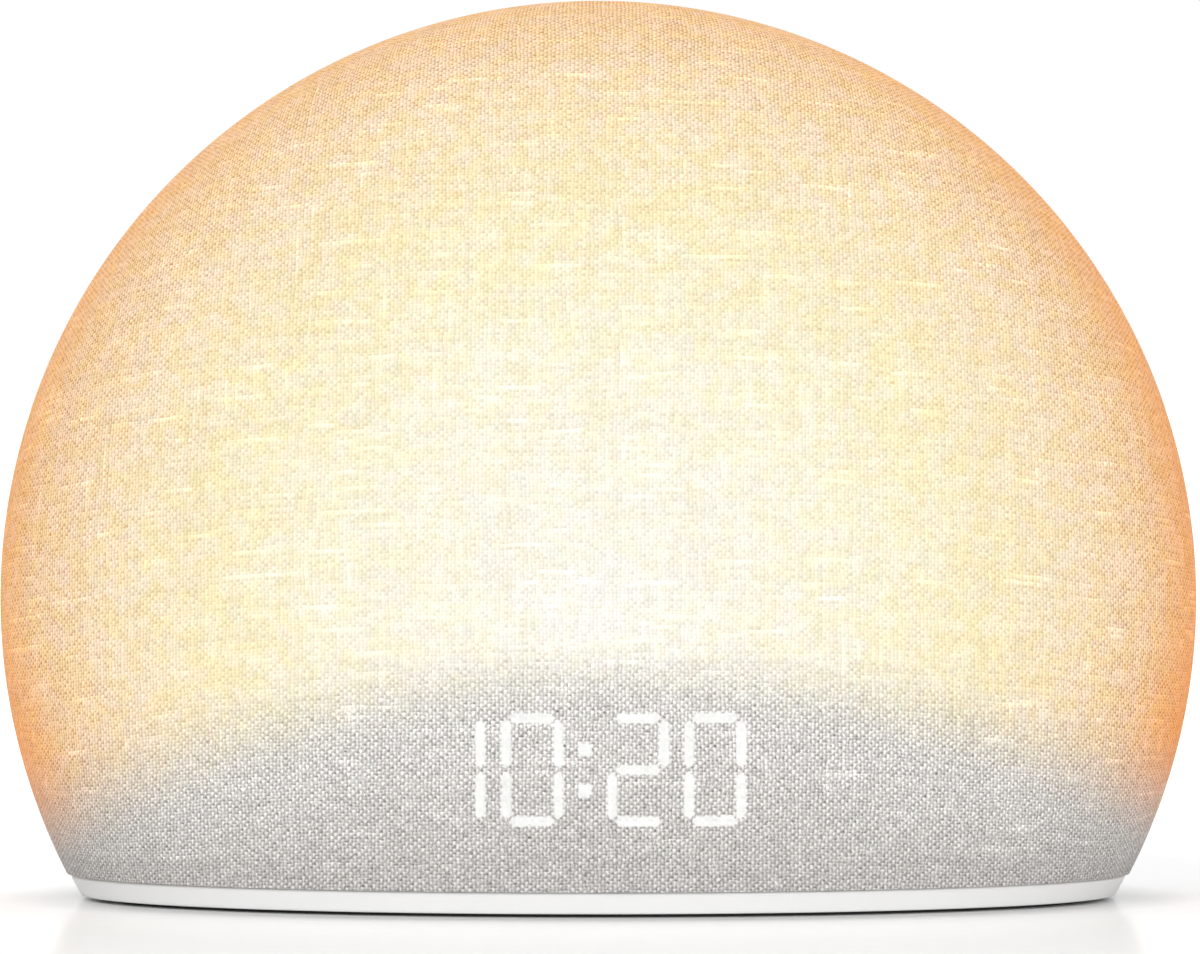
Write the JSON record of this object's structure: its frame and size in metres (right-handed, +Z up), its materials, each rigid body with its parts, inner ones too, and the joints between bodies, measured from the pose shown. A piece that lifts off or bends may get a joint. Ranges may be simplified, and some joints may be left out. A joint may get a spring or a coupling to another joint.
{
  "type": "sunrise alarm clock",
  "caption": "Fabric-covered half-moon wake-up light with a clock display glowing through its cloth, rear speaker, top push buttons and side rockers on a white base.",
  "frame": {"origin": "bottom centre of the whole clock, on the surface that it stands on", "axes": "+X to the right as the clock is read, +Y towards the flat back, +Z up; the display faces -Y"},
  "size_m": [0.2, 0.095, 0.15],
  "materials": {
    "cover_fabric": "plain-woven linen-look cloth, stretched tight",
    "diffuser": "translucent opal plastic",
    "white_shell": "fine moulded texture",
    "grey_rubber": "matt",
    "inner_plastic": "moulded, unpainted",
    "white_board": "white solder mask",
    "green_board": "green solder mask",
    "led_package": "moulded package with a phosphor well",
    "reflector": "diffuse white film",
    "dark_plastic": "moulded, matt",
    "light_pipe": "frosted clear plastic",
    "speaker_steel": "zinc plated",
    "ferrite": "sintered, matt",
    "copper": "enamelled winding on a thin former",
    "cone_paper": "coated pulp",
    "black_rubber": "soft, matt",
    "spider_cloth": "impregnated corrugated cloth",
    "mesh_cloth": "open acoustic mesh",
    "screw_steel": "plated",
    "tinned_steel": "tin plated, satin",
    "chip_black": "moulded epoxy",
    "capacitor_sleeve": "shrunk sleeve",
    "plug_plastic": "natural nylon",
    "cable_black": "soft jacket",
    "plunger_plastic": "moulded"
  },
  "bodies": {
    "case": {"fabric_cover": "cover_fabric", "diffuser_dome": "diffuser", "rear_housing": "white_shell", "base_tray": "white_shell", "foot_ring": "grey_rubber", "chassis": "inner_plastic", "led_board": "white_board", "leds": "led_package", "reflector_sheet": "reflector", "light_shelf": "inner_plastic", "display_mask": "dark_plastic", "display_pipes_lit": "light_pipe", "display_pipes_dark": "light_pipe", "display_board": "green_board", "display_leds": "led_package", "speaker_frame": "speaker_steel", "speaker_yoke": "speaker_steel", "speaker_magnet": "ferrite", "speaker_top_plate": "speaker_steel", "speaker_surround": "black_rubber", "speaker_spider": "spider_cloth", "speaker_gasket": "black_rubber", "speaker_mesh": "mesh_cloth", "speaker_chamber": "dark_plastic", "speaker_screws": "screw_steel", "speaker_wires": "cable_black", "chamber_screws": "screw_steel", "main_board": "green_board", "main_chips": "chip_black", "capacitors": "capacitor_sleeve", "wireless_module": "tinned_steel", "board_connectors": "plug_plastic", "cable_plugs": "plug_plastic", "signal_cables": "cable_black", "usb_shell": "tinned_steel", "usb_tongue": "chip_black", "button_bracket": "inner_plastic", "button_board": "green_board", "button_switches": "chip_black", "rocker_brackets": "inner_plastic", "rocker_pins": "screw_steel", "side_boards": "green_board", "side_switches": "chip_black", "side_plungers": "plunger_plastic", "base_screws": "screw_steel", "chassis_screws": "screw_steel", "board_screws": "screw_steel"},
    "rise": {"rise_button": "white_shell", "rise_plunger": "plunger_plastic"},
    "rest": {"rest_button": "white_shell", "rest_plunger": "plunger_plastic"},
    "volume": {"volume_rocker": "white_shell"},
    "brightness": {"brightness_rocker": "white_shell"},
    "cone": {"speaker_cone": "cone_paper", "speaker_dust_cap": "cone_paper", "speaker_voice_coil": "copper"}
  },
  "joints": [
    {"name": "rise_button_press", "type": "slide", "parent": "case", "child": "rise", "axis": [0, 0, -1], "range_m": [0, 0.0008], "stiffness_N_per_m": 1500},
    {"name": "rest_button_press", "type": "slide", "parent": "case", "child": "rest", "axis": [0, 0, -1], "range_m": [0, 0.0008], "stiffness_N_per_m": 1500},
    {"name": "volume_rocker_tilt", "type": "hinge", "parent": "case", "child": "volume", "pos_m": [0.0883, 0.0285, 0.05], "axis": [0, 1, 0], "range_deg": [-2.5, 2.5], "stiffness_Nm_per_rad": 2},
    {"name": "brightness_rocker_tilt", "type": "hinge", "parent": "case", "child": "brightness", "pos_m": [-0.0883, 0.0285, 0.05], "axis": [0, 1, 0], "range_deg": [-2.5, 2.5], "stiffness_Nm_per_rad": 2},
    {"name": "speaker_cone_travel", "type": "slide", "parent": "case", "child": "cone", "axis": [0, 1, 0], "range_m": [-0.0015, 0.0015], "stiffness_N_per_m": 2000, "deforming": ["speaker_surround", "speaker_spider"]}
  ]
}
